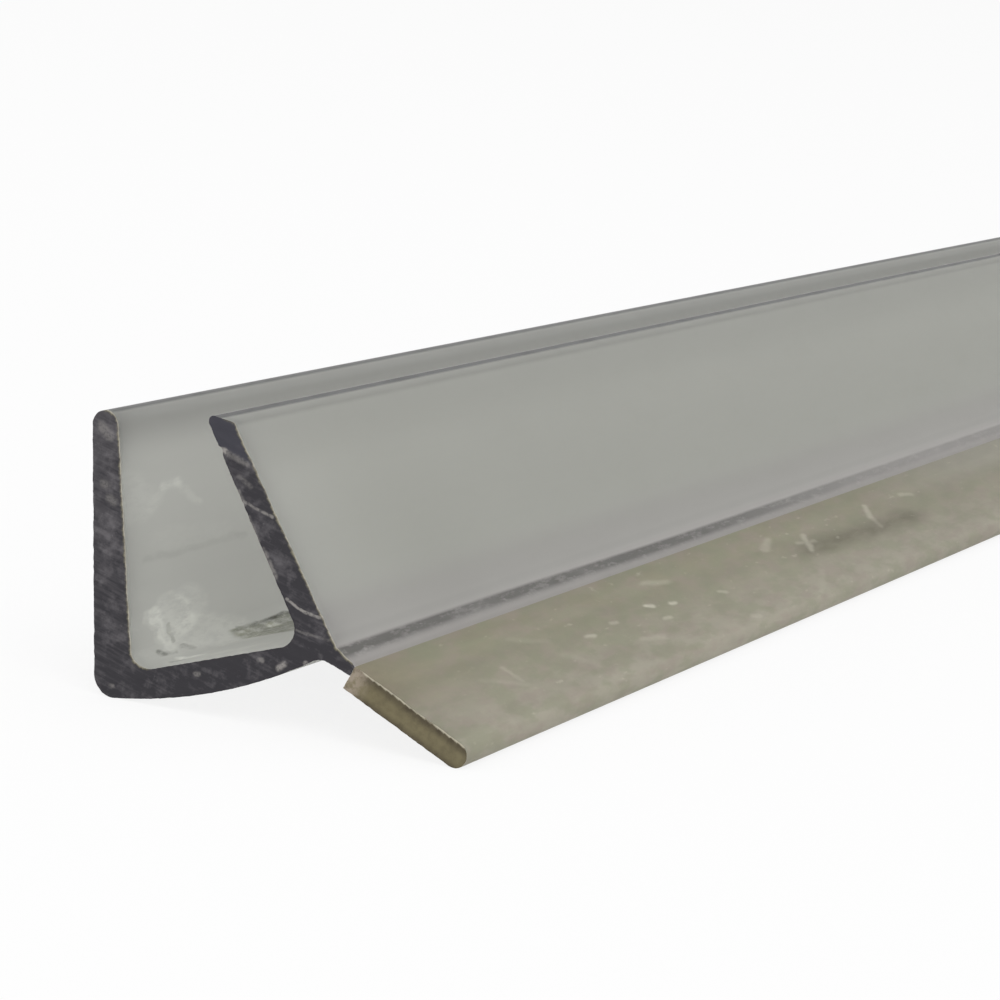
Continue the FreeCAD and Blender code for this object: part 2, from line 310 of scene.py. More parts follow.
# The sawn extrusion, as geometry nodes.
def sawnExtrusionTree():
    # Sweeps a flat section along z, closes both ends with it, and marks them as a saw does.
    tree = bpy.data.node_groups.new("sawnExtrusion", "GeometryNodeTree")
    face = tree.interface
    face.new_socket("Section", in_out="INPUT", socket_type="NodeSocketGeometry")
    for name, kind, value in (
            ("Length", "Float", 0.6), ("Rings", "Int", 80), ("Crowding", "Float", 2.2),
            ("Burr Height", "Float", 0.06 * mm), ("Burr Reach", "Float", 0.12 * mm),
            ("Edge Chips", "Float", 0.04 * mm), ("Saw Depth", "Float", 0.05 * mm),
            ("Saw Angle", "Float", -0.6), ("Saw Pitch", "Float", 0.3 * mm),
            ("Nick Place", "Vector", (0, 0, 0)), ("Nick Size", "Float", 0.2 * mm), ("Nick Depth", "Float", 0.0),
            ("Seed", "Float", 1.0),
            ("Face Finish", "Material", None), ("Cut Finish", "Material", None)):
        socket = face.new_socket(name, in_out="INPUT", socket_type="NodeSocket" + kind)
        if value is not None:
            socket.default_value = value
    face.new_socket("Strip", in_out="OUTPUT", socket_type="NodeSocketGeometry")

    start = Wire(tree).add("NodeGroupInput", output="Section")
    get = start.other
    length, rings, seed = get("Length"), get("Rings"), get("Seed")
    weldGap, cutSkin = 0.002 * mm, 0.02 * mm        # points this near are one, or belong to the cut
    grainScale, blotchScale = 2600.0, 900.0         # of the noise on the edges, for each metre
    sharpFrom = math.radians(38)

    # stations along the strip, crowded towards its ends
    index = start.add("GeometryNodeInputIndex")
    travel = index / (rings - 1.0) * 2.0 - 1.0
    eased = 1.0 - (1.0 - travel.size()).power(get("Crowding"))
    height = eased * travel.maths("SIGN") * length * 0.5
    stations = start.add("GeometryNodeMeshLine", {}, {"Count": rings})
    place = start.add("ShaderNodeCombineXYZ", {}, {"Z": height})
    stations = start.add("GeometryNodeSetPosition", {}, {"Geometry": stations, "Position": place})
    path = start.add("GeometryNodeMeshToCurve", {}, {"Mesh": stations})

    # walls: the section's rim swept along the path
    neighbours = start.add("GeometryNodeInputMeshEdgeNeighbors")
    onRim = start.add("FunctionNodeCompare", {"data_type": "INT", "operation": "EQUAL"},
                      {2: neighbours, 3: 1})
    rim = start.add("GeometryNodeMeshToCurve", {}, {"Mesh": get("Section"), "Selection": onRim})
    walls = start.add("GeometryNodeCurveToMesh", {}, {"Curve": path, "Profile Curve": rim})
    walls = start.add("GeometryNodeStoreNamedAttribute", {"data_type": "BOOLEAN", "domain": "FACE"},
                      {"Geometry": walls, "Name": "sawn", "Value": False})

    # both ends: the section itself
    lift = start.add("ShaderNodeCombineXYZ", {}, {"Z": length * 0.5})
    drop = start.add("ShaderNodeCombineXYZ", {}, {"Z": length * -0.5})
    near = start.add("GeometryNodeTransform", {}, {"Geometry": get("Section"), "Translation": lift})
    far = start.add("GeometryNodeTransform", {}, {"Geometry": get("Section"), "Translation": drop})
    far = start.add("GeometryNodeFlipFaces", {}, {"Mesh": far})
    ends = start.add("GeometryNodeJoinGeometry", {}, {"Geometry": near})
    tree.links.new(far.socket, ends.socket.node.inputs[0])
    ends = start.add("GeometryNodeStoreNamedAttribute", {"data_type": "BOOLEAN", "domain": "FACE"},
                     {"Geometry": ends, "Name": "sawn", "Value": True})
    whole = start.add("GeometryNodeJoinGeometry", {}, {"Geometry": walls})
    tree.links.new(ends.socket, whole.socket.node.inputs[0])
    whole = start.add("GeometryNodeMergeByDistance", {}, {"Geometry": whole, "Distance": weldGap})

    # burr and chips along the sawn edges, and the nick
    here = start.add("GeometryNodeInputPosition")
    z = here.axes()[2]
    fromEnd = length * 0.5 - z.size()
    atEdge = fromEnd.ramp(0.0, get("Burr Reach"), 1.0, 0.0)
    named = "GeometryNodeInputNamedAttribute"
    outward = start.add(named, {"data_type": "FLOAT_VECTOR"}, {"Name": "outward"})
    burrSide = start.add(named, {"data_type": "FLOAT"}, {"Name": "burr"})
    grain = start.add("ShaderNodeTexNoise", {"noise_dimensions": "4D"},
                      {"Vector": here, "W": seed, "Scale": grainScale, "Detail": 3.0, "Roughness": 0.6})
    blotch = start.add("ShaderNodeTexNoise", {"noise_dimensions": "4D"},
                       {"Vector": here, "W": seed + 7.0, "Scale": blotchScale, "Detail": 2.0})
    burr = burrSide * get("Burr Height") * blotch.ramp(0.3, 0.62, 0.25, 1.0) * (0.4 + grain * 1.1)
    chips = (1.0 - burrSide) * get("Edge Chips") * grain.ramp(0.35, 0.75)
    toNick = here.vector("SUBTRACT", get("Nick Place"))
    nickGap = toNick.vector("MULTIPLY", (1, 1, 0.5)).vector("LENGTH", output="Value")
    nick = (nickGap / get("Nick Size")).ramp(0.35, 1.0, 1.0, 0.0) * get("Nick Depth")
    push = (burr - chips) * atEdge - nick
    offset = outward.vector("SCALE", scale=push)

    # saw marks across the cut, only ever into the plastic
    turned = start.add("ShaderNodeVectorRotate", {"rotation_type": "Z_AXIS"},
                       {"Vector": here, "Angle": 0.0 - get("Saw Angle")})
    alongTeeth, acrossTeeth, _ = turned.axes()
    pitch = 1.0 / get("Saw Pitch")
    lines = start.add("ShaderNodeCombineXYZ", {}, {
        "X": alongTeeth * pitch * 0.06, "Y": acrossTeeth * pitch, "Z": z * 40.0})
    marks = start.add("ShaderNodeTexNoise", {"noise_dimensions": "4D"},
                      {"Vector": lines, "W": seed, "Scale": 1.0, "Detail": 3.0, "Roughness": 0.65})
    onCut = fromEnd.ramp(0.0, cutSkin, 1.0, 0.0)
    depth = marks.ramp(0.3, 0.7) * get("Saw Depth") * onCut * z.maths("SIGN") * -1.0
    sink = start.add("ShaderNodeCombineXYZ", {}, {"Z": depth})
    moved = start.add("GeometryNodeSetPosition", {},
                      {"Geometry": whole, "Offset": offset.vector("ADD", sink)})

    # hard edges round the cut, smooth faces elsewhere
    bend = start.add("GeometryNodeInputMeshEdgeAngle")
    sharp = start.add("FunctionNodeCompare", {"operation": "GREATER_THAN"}, {0: bend, 1: sharpFrom})
    moved = start.add("GeometryNodeSetShadeSmooth", {"domain": "FACE"},
                      {"Geometry": moved, "Shade Smooth": True})
    moved = start.add("GeometryNodeSetShadeSmooth", {"domain": "EDGE"},
                      {"Geometry": moved, "Selection": sharp, "Shade Smooth": False})
    moved = start.add("GeometryNodeRealizeInstances", {}, {"Geometry": moved})
    isSawn = start.add(named, {"data_type": "BOOLEAN"}, {"Name": "sawn"})
    moved = start.add("GeometryNodeSetMaterial", {}, {"Geometry": moved, "Material": get("Face Finish")})
    moved = start.add("GeometryNodeSetMaterial", {},
                      {"Geometry": moved, "Selection": isSawn, "Material": get("Cut Finish")})
    result = tree.nodes.new("NodeGroupOutput")
    tree.links.new(moved.socket, result.inputs["Strip"])
    return tree


# Finishes.
def shade(red, green, blue):        # a colour as it reads on screen, 0 to 255, made linear
    return tuple(((level / 255 + 0.055) / 1.055) ** 2.4 for level in (red, green, blue)) + (1.0,)


# marks are drawn in squashed places, so that they come out long the other way
slotSquash, fleckSquash, smudgeSquash = (0.3, 1, 0.4), (1, 1, 0.4), (1, 1, 0.16)
drawnOut = (1, 1, 0.3)              # stretches a noise along the strip
restTurn = math.radians(strip["roll"])
restMatrix = Matrix((
    (math.cos(restTurn), -math.sin(restTurn), 0, strip["slotPlace"][0] * mm),
    (0, 0, -1, 0),
    (math.sin(restTurn), math.cos(restTurn), 0, strip["slotPlace"][1] * mm),
    (0, 0, 0, 1)))


def inTheSlot(y, depth, x=None):
    # a place on the back leg's inner face, or on the slot's floor where x is given
    if x is None:
        x = -channelSizes["slotWidth"] / 2 + y * math.tan(math.radians(channelSizes["backInnerLean"]))
    return tuple(Vector((x, y, strip["length"] / 2 - depth)) * Vector(slotSquash))


def onFin(across, depth, squash):   # a place on the fin's upper face
    point = neckPoints()[1] + direction(-finSizes["slope"]) * across
    return tuple(Vector((point.x, point.y, strip["length"] / 2 - depth)) * Vector(squash))


def newFinish(name):
    material = bpy.data.materials.new(name)
    material.use_nodes = True
    material.node_tree.nodes.clear()
    return material, Wire(material.node_tree)


def sectionPlace(wire):
    # Object coordinates turned back into the section's own x, y and z, in millimetres
    coordinates = wire.add("ShaderNodeTexCoord", output="Object")
    return wire.add("ShaderNodeMapping", {"vector_type": "TEXTURE"}, {
        "Vector": coordinates, "Location": restMatrix.translation,
        "Rotation": restMatrix.to_euler(), "Scale": (mm, mm, mm)})


def noise(place, scale, detail=2.0, roughness=0.5, distortion=0.0, stretch=None, offset=None, output="Fac"):
    if stretch or offset:
        place = place.add("ShaderNodeMapping", {}, {
            "Vector": place, "Scale": stretch or (1, 1, 1), "Location": offset or (0, 0, 0)})
    return place.add("ShaderNodeTexNoise", {}, {
        "Vector": place, "Scale": scale, "Detail": detail, "Roughness": roughness,
        "Distortion": distortion}, output)


def wobbled(place, amount, scale, run=1.0):
    # the same place, shaken so that drawn marks aren't straight; run draws the shake out along the strip
    shake = noise(place, scale, 2.0, stretch=(1, 1, 1 / run), output="Color")
    shake = shake.vector("SUBTRACT", (0.5, 0.5, 0.5))
    return place.vector("ADD", shake.vector("MULTIPLY", (amount, amount, amount * run)))


def fromLine(x, y, point, degrees):     # distance from a line in the section whose normal points that way
    normal = direction(degrees)
    return x * normal.x + y * normal.y - point[0] * normal.x - point[1] * normal.y


def band(value, centre, half, soft):
    return (value - centre).size().ramp(half, half + soft, 1.0, 0.0)


def mark(place, start, end, half, soft):
    # a straight stroke between two places
    run = Vector(end) - Vector(start)
    gap = place.vector("SUBTRACT", tuple(start))
    if run.length > 1e-6:
        along = gap.vector("DOT_PRODUCT", tuple(run / run.length_squared), output="Value").clamped()
        step = along.add("ShaderNodeVectorMath", {"operation": "SCALE"}, {0: tuple(run), "Scale": along})
        gap = gap.vector("SUBTRACT", step)
    return gap.vector("LENGTH", output="Value").ramp(half, half + soft, 1.0, 0.0)


def burrMask(wire):
    return wire.add("ShaderNodeAttribute", {"attribute_name": "burr"}, {}, "Fac")


def finishWith(wire, colour, roughness, height, bumpDistance, settings, solid=0.0):
    bump = wire.add("ShaderNodeBump", {}, {
        "Height": height, "Strength": settings["bumpStrength"], "Distance": bumpDistance * mm})
    skin = wire.add("ShaderNodeBsdfPrincipled", {}, {
        "Base Color": colour, "Roughness": roughness, "Normal": bump, "IOR": settings["ior"],
        "Specular IOR Level": settings["specular"]})
    if settings["glow"]:
        through = wire.add("ShaderNodeBsdfTranslucent", {}, {"Color": settings["glowColour"]})
        skin = wire.add("ShaderNodeMixShader", {}, {0: (1.0 - solid) * settings["glow"], 1: skin, 2: through})
    output = wire.tree.nodes.new("ShaderNodeOutputMaterial")
    wire.tree.links.new(skin.socket, output.inputs["Surface"])


channelFinish = {
    "face": shade(163, 164, 158),       # smoke-clear plastic, flat on
    "lavender": shade(159, 155, 154),   # where the plastic curves away, near the neck
    # painted shade for the clear plastic's edges
    "edgeShade": shade(72, 72, 72),      # the clear plastic's edges, seen through themselves
    # painted shade on the neck's upper face
    "neckShade": shade(78, 76, 72),
    "neckLight": shade(158, 153, 152),
    "lipHighlight": shade(206, 205, 199),        # light caught by the front leg's inner edge
    "dirt": shade(108, 109, 92),        # greenish dirt on the slot's floor
    "smearGain": 4.0,                   # the slot is dim, so what lies in it is drawn strong
    "slotGain": 1.12,                   # the slot's faces take light through the legs
    "tone": 0.93, "blotchGain": 0.07, "dieLineGain": 0.05, "grainGain": 0.03,
    # creaseShade is painted shade in the crease above the shoulder
    "topFade": 0.26, "footFade": 0.10, "creaseShade": 0.14,  # on the front leg's outer face
    # slotLowLight is painted light, low in the slot
    "cutGain": 0.3, "slotLowLight": 0.18, "dustGain": 0.2,       # paler by the cut, low in the slot, and under dust
    "dirtTop": 0.58, "dirtFrom": 9.2, "dirtTo": 17.4,       # height and depths of the dirty patch
    # painted shade line on the front leg's top
    "ledgeShadeLine": (2.40, 2.64),          # the dark line on the front leg's top, between these x
    "roughness": 0.42, "ior": 1.5, "specular": 0.4, "bumpStrength": 0.25,
    "glow": 0.5, "glowColour": (0.95, 0.95, 0.93, 1.0),     # how much light the walls let through
    # smears and dust inside the slot: place from, place to, half width, softness, gain; a place is y and depth
    # on the back leg, with x as well on the floor
    "smears": (
        ((7.2, 2.7), (8.05, 4.2), 0.05, 0.26, 0.06), ((8.05, 4.2), (8.15, 5.4), 0.07, 0.28, 0.09),
        ((8.15, 5.4), (7.0, 7.4), 0.05, 0.24, 0.08), ((8.3, 0.4), (7.5, 1.2), 0.55, 0.6, 0.06),
        ((4.9, 2.0), (4.9, 12.0), 0.04, 0.22, -0.06), ((5.7, 4.0), (5.3, 9.5), 0.25, 0.5, 0.03),
        ((2.5, 4.1), (1.6, 5.1), 0.45, 0.3, 0.14), ((2.8, 5.9), (2.1, 7.0), 0.3, 0.3, 0.10),
        ((1.1, 6.0), (0.3, 10.0), 0.6, 0.4, 0.14), ((2.5, 2.4), (0.5, 3.9), 0.08, 0.2, 0.22),
        ((2.5, 1.7), (1.0, 3.0), 0.06, 0.15, 0.10), ((1.65, 4.0), (0.85, 4.25), 0.05, 0.08, -0.26),
        ((0.5, 2.6), (0.35, 3.9), 0.06, 0.12, -0.38), ((0.42, 4.8), (0.25, 5.7), 0.06, 0.12, -0.40),
        ((0.02, 2.3, -3.4), (0.02, 2.6, -3.2), 0.05, 0.12, -0.34),
        ((0.02, 3.3, -3.4), (0.02, 3.7, -3.0), 0.08, 0.14, 0.34),
        ((0.0, 0.6, -2.0), (0.0, 1.0, 2.5), 0.12, 0.3, 0.07),
        ((0.0, 3.0, -1.6), (0.0, 4.0, -0.4), 0.1, 0.3, 0.08),
        ((0.48, 10.4), (0.48, 16.6), 0.05, 0.10, -0.42), ((0.15, 13.4), (0.15, 13.9), 0.12, 0.14, 0.34),
    ),
}


def channelFaceFinish():
    s, f = channelSizes, channelFinish
    material, wire = newFinish("smokeClear")
    place = sectionPlace(wire)
    x, y, z = place.axes()
    depth = strip["length"] / 2 - z     # from the photographed cut
    shoulder = neckPoints()[0]
    half = s["slotWidth"] / 2

    # tone: soft blotches, and faint lines left along the strip by the die
    blotch = noise(place, 0.22, 2.0, stretch=(1, 1, 0.35))
    dieLines = noise(place, 3.2, 2.0, stretch=(1, 1, 0.012))
    grain = noise(place, 5.0, 3.0, 0.6)
    tone = f["tone"] + blotch * f["blotchGain"] + dieLines * f["dieLineGain"] + grain * f["grainGain"]

    # the front leg's outer face fades a little towards its top and its foot, and painted shade darkens the
    # crease where it meets the shoulder
    onFront = band(fromLine(x, y, (half + s["frontWidth"], 0), s["frontOuterLean"]), 0.0, 0.12, 0.2)
    fades = y.ramp(7.0, 10.3) * f["topFade"] + band(y, 0.9, 0.3, 0.8) * f["footFade"] \
        + band(y, -0.03, 0.05, 0.22) * f["creaseShade"]
    tone = tone - onFront * fades

    # inside the slot
    inSlot = fromLine(x, y, (-half, 0), -s["backInnerLean"]).ramp(-0.12, 0.0) \
        * fromLine(x, y, (half, 0), 180 + s["frontInnerLean"]).ramp(-0.12, 0.0) * y.ramp(-0.15, -0.02)
    onBack = inSlot * x.ramp(s["frontWidth"], 0.0).maths("MAXIMUM", y.ramp(0.5, 0.25))
    tone = tone * (1.0 + inSlot * (f["slotGain"] - 1.0))
    shaken = wobbled(place, 0.45, 1.7, 3.0).vector("MULTIPLY", slotSquash)
    pale, dull = 0.0, 0.0
    for start, end, halfWidth, soft, gain in f["smears"]:
        drawn = mark(shaken, inTheSlot(*start), inTheSlot(*end), halfWidth, soft)
        if gain > 0:
            pale = drawn * gain + pale
        else:
            dull = drawn * -gain + dull
    patchy = onBack * noise(place, 2.8, 4.0, 0.7, stretch=drawnOut).ramp(0.32, 0.6, 0.35, 1.15)
    pale, dull = pale * patchy * f["smearGain"], dull * patchy * 2.0
    dust = onBack * depth.ramp(11.0, 1.0) * y.ramp(5.0, 0.5) \
        * noise(place, 1.7, 4.0, 0.7, stretch=drawnOut, offset=(7, 3, 1)).ramp(0.44, 0.68)
    # painted light low in the slot
    tone = tone + pale - dull * 0.8 + depth.ramp(0.05, 0.5, f["cutGain"], 0.0) \
        + onBack * y.ramp(4.0, 1.5) * f["slotLowLight"] + dust * f["dustGain"]

    low = onFront * y.ramp(2.6, 0.6)
    colour = (low * 0.8).between(f["face"], f["lavender"])

    # a dirty patch on the slot's floor
    dirtySpot = onBack * y.ramp(f["dirtTop"], f["dirtTop"] - 0.1) \
        * depth.ramp(f["dirtFrom"], f["dirtFrom"] + 1.0) * depth.ramp(f["dirtTo"], f["dirtTo"] - 1.0)
    dirtGrain = noise(place, 3.0, 4.0, 0.7, stretch=drawnOut, offset=(1, 4, 2))
    dirt = dirtySpot * dirtGrain.ramp(0.34, 0.58, 0.3, 0.9)
    colour = colour.towards(f["dirt"], dirt)
    tone = tone + dirtySpot * dirtGrain.ramp(0.58, 0.7) * 0.35

    # the neck's upper face: a band of painted shade, then a pale one
    along = fromLine(x, y, shoulder, -s["neckSlope"])
    onNeck = band(fromLine(x, y, shoulder, 90 - s["neckSlope"]), 0.0, 0.2, 0.1) * along.ramp(-0.12, -0.02)
    colour = colour.towards(f["neckLight"], onNeck)
    drift = depth.ramp(14.0, 46.0) * 0.2
    fade = depth.ramp(40.0, 88.0, 1.0, 0.55) \
        * noise(place, 0.35, 2.0, stretch=(1, 1, 0.5)).ramp(0.1, 0.5, 0.8, 1.0)
    mottle = noise(place, 2.2, 3.0, 0.7, stretch=drawnOut).ramp(0.46, 0.74) \
        * depth.ramp(2.0, 5.0, 0.5, 0.28)
    specks = noise(place, 3.0, 2.0, 0.5, stretch=(1, 1, 0.35), offset=(4, 0, 3)).ramp(0.62, 0.78) * 0.25
    # painted shade: the dark band on the neck's upper face
    neckShadeBand = (along - drift).ramp(-0.08, 0.16) * (along - drift).ramp(0.46, 1.02, 1.0, 0.0) * onNeck
    neckShadeBand = neckShadeBand * (1.0 - mottle) * (1.0 - specks)
    colour = colour.towards(f["neckShade"], neckShadeBand * fade)

    # painted shade: the clear plastic's own edges look dark, so shade is painted along the top of each leg
    leanIn = math.tan(math.radians(s["frontInnerLean"]))
    top = Vector((half - s["frontHeight"] * leanIn, s["frontHeight"]))
    onLedge = band(fromLine(x, y, top, 90 - s["frontTopSlope"]), 0.0, 0.06, 0.12) * y.ramp(10.1, 10.4)
    inner, outer = f["ledgeShadeLine"]
    ledgeShadeLine = onLedge * x.ramp(inner - 0.06, inner) * x.ramp(outer + 0.18, outer)
    # painted highlight along the front leg's inner edge
    lipHighlight = onLedge * x.ramp(inner, inner - 0.07) \
        * noise(place, 0.5, 2.0, stretch=(1, 1, 0.4)).ramp(0.35, 0.6, 0.2, 0.9)
    # painted shade on the front leg's top face, and high on the back leg
    tone = tone * (1.0 - onLedge * 0.5)
    tone = tone * (1.0 - y.ramp(9.4, 11.3) * x.ramp(0.0, -0.5) * 0.5)
    # painted shade: a dark line along the back leg's tip
    tip = y.ramp(s["backHeight"] + 0.40, s["backHeight"] + 0.54, 0.0, 0.9)
    colour = colour.vector("SCALE", scale=tone)
    colour = colour.towards(f["edgeShade"], ledgeShadeLine).towards(f["edgeShade"], tip).towards(f["lipHighlight"], lipHighlight)

    # no light comes through where shade is painted, nor where the plastic is dirty or smeared dark
    solid = tip.maths("MAXIMUM", neckShadeBand * fade * 0.95).maths("MAXIMUM", ledgeShadeLine)
    solid = solid.maths("MAXIMUM", dirt * 0.8).maths("MAXIMUM", dull.clamped())

    scuff = noise(place, 1.1, 3.0, 0.65, 0.6, stretch=drawnOut).ramp(0.45, 0.8)
    roughness = f["roughness"] + scuff * 0.12 + grain * 0.08 + pale.ramp(0.05, 0.5) * 0.15
    height = dieLines * 0.5 + grain * 0.35
    finishWith(wire, colour, roughness, height, 0.02, f, solid)
    return material


channelCutFinish = {
    # fleck is the colour of the scratches and flecks, and of the painted glints
    "dark": shade(40, 38, 43), "light": shade(94, 91, 94), "fleck": shade(150, 146, 142),
    "burr": shade(172, 167, 153), "olive": shade(112, 108, 90), "slate": shade(56, 56, 66),
    "mottleGain": 0.85, "sawLineGain": 1.15, "crumbGain": 0.4,
    "slateFrom": ((2.51, 9.25), 52.4),      # a line, with the way that its normal points
    "roughness": 0.5, "ior": 1.5, "specular": 0.35, "bumpStrength": 0.3, "glow": 0.0,
    # scratches and flecks, with painted glints along the front leg's inner edge: (x, y) from, (x, y) to, half
    # width, softness, strength
    "scratchesAndGlints": (
        ((2.45, 9.3), (2.62, 9.2), 0.07, 0.10, 0.8), ((2.51, 9.25), (3.55, 8.45), 0.05, 0.18, 0.34),
        ((3.02, 6.79), (4.27, 5.89), 0.02, 0.09, 0.55), ((4.15, 2.12), (4.9, 1.4), 0.03, 0.07, 0.8),
        ((4.9, 1.4), (5.66, 1.02), 0.03, 0.07, 0.75), ((4.34, 0.66), (5.87, -0.08), 0.02, 0.08, 0.25),
        ((2.2, -0.4), (2.35, -0.45), 0.04, 0.14, 0.45), ((3.05, -0.93), (3.4, -0.78), 0.03, 0.18, 0.8),
        ((4.5, -0.9), (4.6, -0.95), 0.05, 0.12, 0.65), ((-1.2, -0.55), (-1.05, -0.6), 0.05, 0.12, 0.45),
        ((-5.7, -0.45), (-5.6, -0.5), 0.04, 0.12, 0.4), ((-3.8, 8.1), (-3.6, 7.9), 0.05, 0.25, 0.3),
        ((-3.95, 8.8), (-3.8, 8.7), 0.05, 0.25, 0.3), ((-3.45, 11.4), (-3.15, 10.9), 0.08, 0.3, 0.38),
        # the first two strokes here and the first on the next line are painted glints along the front leg's
        # inner edge
        ((2.82, 7.3), (2.98, 6.7), 0.03, 0.16, 0.45), ((3.1, 6.1), (3.35, 4.9), 0.02, 0.14, 0.4),
        ((3.5, 4.5), (3.85, 3.2), 0.03, 0.16, 0.5), ((3.0, 8.0), (3.5, 7.4), 0.02, 0.15, 0.25),
    ),
}


def channelSawnFinish():
    f = channelCutFinish
    material, wire = newFinish("sawnSmoke")
    place = sectionPlace(wire)
    flat = place.vector("MULTIPLY", (1, 1, 0.02))
    x, y, _ = place.axes()
    turned = wire.add("ShaderNodeVectorRotate", {"rotation_type": "Z_AXIS"}, {
        "Vector": flat, "Angle": math.radians(-strip["sawDirection"])})
    mottle = noise(flat, 1.1, 4.0, 0.62, 0.12)
    sawLines = noise(turned, 5.0, 3.0, 0.6, stretch=(0.12, 1, 1))
    crumbs = noise(flat, 7.0, 3.0, 0.6)
    light = mottle.ramp(0.44, 0.8) * f["mottleGain"] + (sawLines - 0.5) * f["sawLineGain"] \
        + crumbs.ramp(0.60, 0.78) * f["crumbGain"]

    # paler on the back leg, most of all by its tip; darker on the base; slate at the front leg's top
    light = light + x.ramp(-1.8, -3.2) * y.ramp(8.5, 11.5) * 0.22 + x.ramp(-3.2, -4.8) * 0.06 \
        - y.ramp(0.3, -0.5) * 0.10 + x.ramp(-2.2, -3.6) * y.ramp(3.0, 8.0) * 0.14
    aboveScratch = x.ramp(0.5, 1.5) * fromLine(x, y, *f["slateFrom"]).ramp(0.0, 0.12)
    light = light * (1.0 - aboveScratch * 0.45)
    colour = light.clamped().between(f["dark"], f["light"])
    colour = colour.towards(f["slate"], aboveScratch * 0.6)
    shaken = wobbled(flat, 0.16, 2.4)
    worn = noise(flat, 5.0, 2.0, 0.6, offset=(2, 7, 0)).ramp(0.3, 0.6, 0.25, 1.0)
    onSection = shaken.vector("MULTIPLY", (1, 1, 0))
    # scratches, flecks and painted glints
    for start, end, halfWidth, soft, strength in f["scratchesAndGlints"]:
        drawn = mark(onSection, start + (0,), end + (0,), halfWidth, soft)
        colour = colour.towards(f["fleck"], drawn * worn * strength)
    rim = burrMask(wire)
    olive = rim.ramp(0.15, 0.7) * noise(flat, 1.2, 1.0).ramp(0.35, 0.65, 0.3, 0.9)
    torn = rim.ramp(0.55, 0.95) * noise(flat, 2.2, 2.0, offset=(5, 0, 0)).ramp(0.3, 0.6, 0.35, 1.0)
    colour = colour.towards(f["olive"], olive).towards(f["burr"], torn)
    height = sawLines * 0.8 + crumbs * 0.3
    finishWith(wire, colour, f["roughness"] + mottle * 0.2, height, 0.03, f)
    return material


finFinish = {
    "root": shade(139, 135, 113), "tip": shade(164, 159, 144), "smudge": shade(100, 96, 78),
    "pale": shade(218, 214, 198), "pinkish": shade(152, 139, 130), "greenish": shade(134, 138, 112),
    "farRoot": shade(156, 153, 142), "brown": shade(142, 130, 106),
    "tone": 0.77, "patchGain": 0.08, "dragGain": 0.16, "grainGain": 0.08, "dieLineGain": 0.05, "blotGain": 0.10,
    "roughness": 0.46, "ior": 1.48, "specular": 0.35, "bumpStrength": 0.3,
    "glow": 0.3, "glowColour": (0.8, 0.78, 0.7, 1.0),
    # flecks and scratches: (across, depth) from, (across, depth) to, half width, softness, strength
    "flecks": (
        ((2.62, 30.5), (2.75, 31.0), 0.04, 0.18, 0.8), ((2.97, 33.0), (3.03, 33.5), 0.03, 0.18, 0.7),
        ((3.0, 21.4), (3.15, 21.9), 0.04, 0.18, 0.5), ((2.85, 25.0), (2.9, 25.6), 0.03, 0.18, 0.35),
        ((3.75, 30.5), (3.85, 31.1), 0.03, 0.18, 0.4), ((3.4, 39.3), (3.6, 39.9), 0.03, 0.18, 0.4),
        ((3.0, 11.0), (4.2, 11.1), 0.02, 0.14, 0.2), ((1.9, 56.8), (3.1, 55.4), 0.03, 0.24, 0.42),
        ((2.25, 55.0), (2.55, 57.4), 0.02, 0.2, 0.3), ((1.5, 69.4), (2.4, 68.1), 0.04, 0.24, 0.42),
        ((2.4, 68.1), (3.3, 67.9), 0.03, 0.22, 0.25), ((1.3, 52.2), (1.9, 50.2), 0.04, 0.3, 0.28),
        ((4.7, 53.5), (6.0, 50.0), 0.03, 0.24, 0.16), ((5.7, 39.3), (5.9, 40.1), 0.06, 0.18, 0.28),
        ((1.6, 76.3), (1.85, 77.6), 0.06, 0.26, 0.32), ((3.2, 8.0), (4.4, 11.0), 0.02, 0.24, 0.14),
        ((1.6, 14.5), (2.5, 17.5), 0.02, 0.26, 0.14), ((3.6, 17.0), (4.8, 19.0), 0.02, 0.24, 0.12),
        ((4.4, 26.0), (4.8, 28.0), 0.03, 0.26, 0.18), ((1.2, 33.0), (1.6, 35.5), 0.04, 0.28, 0.22),
    ),
}


